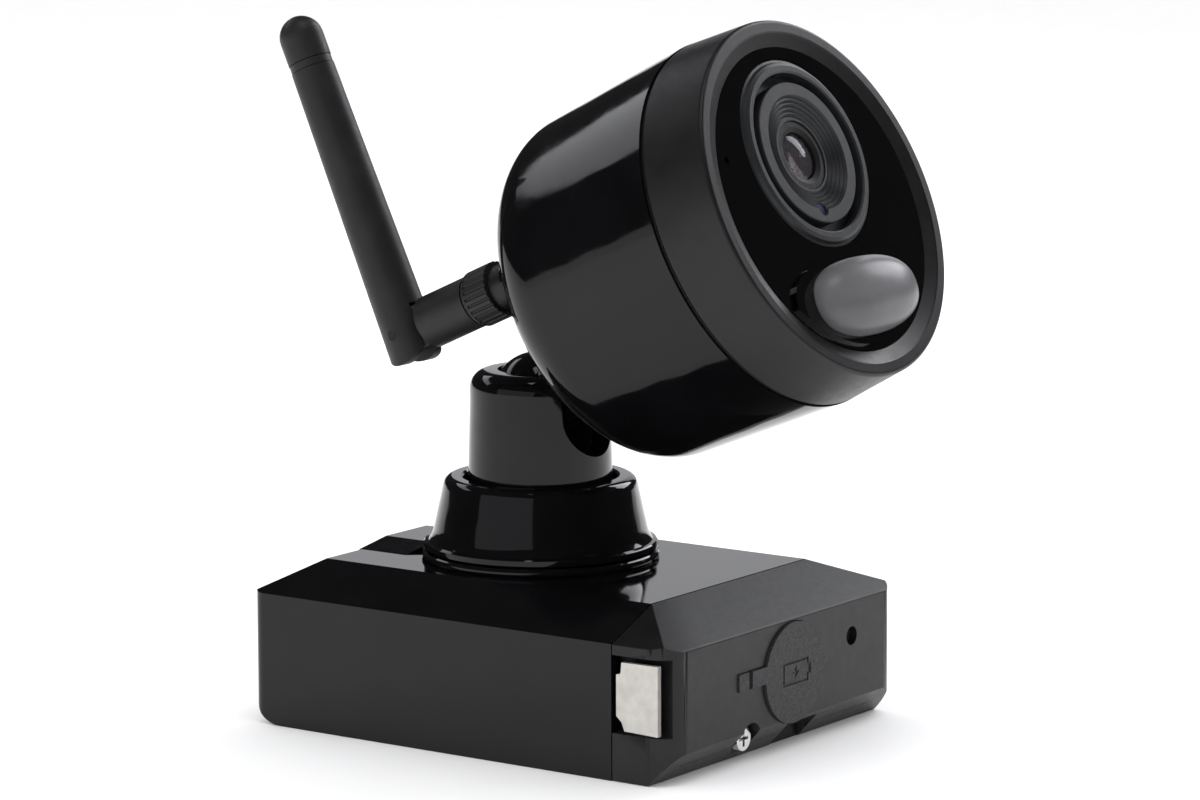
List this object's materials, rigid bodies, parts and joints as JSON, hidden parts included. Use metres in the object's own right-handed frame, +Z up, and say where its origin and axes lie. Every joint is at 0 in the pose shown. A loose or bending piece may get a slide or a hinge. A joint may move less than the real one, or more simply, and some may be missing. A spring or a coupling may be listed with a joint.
{
  "type": "wireless security camera",
  "caption": "Round wire-free security camera on a box battery base, with a ball swivel, a motion sensor dome, a folding antenna and a slide-out pack.",
  "frame": {"origin": "middle of the underside of the base, on the axis of the swivel post", "axes": "+Z up along the post; the lens and the battery cap face -Y; +X is to the right seen from the front"},
  "size_m": [0.072, 0.1164, 0.1273],
  "materials": {
    "gloss_shell": "gloss black ABS, slightly orange-peeled",
    "satin_bezel": "fine grain charcoal",
    "front_window": "infrared-clear black, polished",
    "lens_trim": "satin",
    "lens_black": "fine matt",
    "lens_glass": "coated",
    "dome": "smoky polyethylene lens, half gloss",
    "seal_rubber": "matt",
    "cover_rubber": "grained",
    "inner_plastic": "moulded, plain",
    "antenna_plastic": "fine spark grain",
    "zinc_screw": "bright nickel",
    "spring_steel": "bright",
    "steel_pin": "blackened",
    "steel_can": "tinned",
    "brass_jack": "machined",
    "copper": "drawn",
    "gold_contact": "plated",
    "circuit_board": "solder mask",
    "chip_black": "moulded epoxy",
    "cell_wrap": "shrink sleeve",
    "nickel_strip": "plated strip",
    "latch_silver": "silver paint, satin",
    "light_pipe": "milky clear",
    "led_clear": "water clear",
    "nylon": "natural",
    "sensor_die": "bare die"
  },
  "bodies": {
    "base": {"base_shell": "gloss_shell", "shell_contacts": "gold_contact", "friction_washer": "nylon"},
    "battery_pack": {"battery_cap": "satin_bezel", "cap_seal": "seal_rubber", "battery_tray": "inner_plastic", "battery_cells": "cell_wrap", "cell_straps": "nickel_strip", "pack_contacts": "gold_contact", "charge_board": "circuit_board", "usb_socket": "steel_can", "status_led": "light_pipe", "port_anchor": "cover_rubber", "latch_spring": "spring_steel"},
    "port_flap": {"port_cover": "cover_rubber"},
    "latch": {"latch_plate": "latch_silver"},
    "pack_screw": {"lock_screw": "zinc_screw"},
    "collar": {"lock_collar": "gloss_shell"},
    "post": {"swivel_post": "gloss_shell", "ball_seat": "nylon", "seat_springs": "spring_steel", "seat_plug": "inner_plastic"},
    "stem": {"pivot_ball": "gloss_shell", "stem_clip": "spring_steel"},
    "head": {"head_shell": "gloss_shell", "shell_seal": "seal_rubber", "stem_bush": "inner_plastic", "bush_screws": "zinc_screw", "chassis": "inner_plastic", "main_board": "circuit_board", "main_chips": "chip_black", "radio_can": "steel_can", "sensor_board": "circuit_board", "image_sensor": "sensor_die", "lens_holder": "lens_black", "lens_barrel": "lens_black", "front_glass": "lens_glass", "led_board": "circuit_board", "ir_leds": "led_clear", "pir_sensor": "steel_can", "front_bezel": "satin_bezel", "front_window": "front_window", "lens_surround": "lens_trim", "lens_baffle": "lens_trim", "light_sensor": "sensor_die", "pir_dome": "dome", "microphone": "steel_can", "jack_collar": "satin_bezel", "antenna_jack": "brass_jack", "jack_nut": "steel_can"},
    "ring_nut": {"antenna_nut": "antenna_plastic"},
    "knuckle": {"antenna_knuckle": "antenna_plastic"},
    "mast": {"fold_pin": "steel_pin", "antenna_mast": "antenna_plastic", "tip_ring": "antenna_plastic", "antenna_tip": "antenna_plastic", "antenna_core": "copper"}
  },
  "joints": [
    {"name": "pack_slide", "type": "slide", "parent": "base", "child": "battery_pack", "axis": [0, -1, 0], "range_m": [0, 0.085]},
    {"name": "port_flap_hinge", "type": "hinge", "parent": "battery_pack", "child": "port_flap", "pos_m": [-0.0124, -0.0537, 0.0148], "axis": [0, 0, -1], "range_deg": [0, 90]},
    {"name": "latch_press", "type": "slide", "parent": "battery_pack", "child": "latch", "axis": [1, 0, 0], "range_m": [0, 0.0012], "stiffness_N_per_m": 800, "springref_m": -0.001},
    {"name": "pack_screw_turn", "type": "hinge", "parent": "battery_pack", "child": "pack_screw", "pos_m": [-0.0116, -0.0517, 0.0041], "axis": [0, -1, 0], "continuous": true},
    {"name": "collar_turn", "type": "hinge", "parent": "base", "child": "collar", "pos_m": [0, 0, 0.036], "axis": [0, 0, 1], "range_deg": [0, 60]},
    {"name": "head_pan", "type": "hinge", "parent": "base", "child": "post", "pos_m": [0, 0, 0.04], "axis": [0, 0, 1], "range_deg": [-175, 175]},
    {"name": "head_tilt", "type": "hinge", "parent": "post", "child": "stem", "pos_m": [0, 0, 0.057], "axis": [-1, 0, 0], "range_deg": [-25, 60]},
    {"name": "head_roll", "type": "hinge", "parent": "stem", "child": "head", "pos_m": [0, 0, 0.057], "axis": [0, -0.91, 0.4147], "range_deg": [-45, 45]},
    {"name": "ring_nut_turn", "type": "hinge", "parent": "head", "child": "ring_nut", "pos_m": [-0.02, -0.00397, 0.07892], "axis": [0, -0.91, 0.4147], "continuous": true},
    {"name": "antenna_swivel", "type": "hinge", "parent": "head", "child": "knuckle", "pos_m": [-0.02, 0.00304, 0.07573], "axis": [0, -0.91, 0.4147], "range_deg": [-90, 90]},
    {"name": "antenna_fold", "type": "hinge", "parent": "knuckle", "child": "mast", "pos_m": [-0.02, 0.01423, 0.07062], "axis": [1, 0, 0], "range_deg": [-90, 0]}
  ]
}
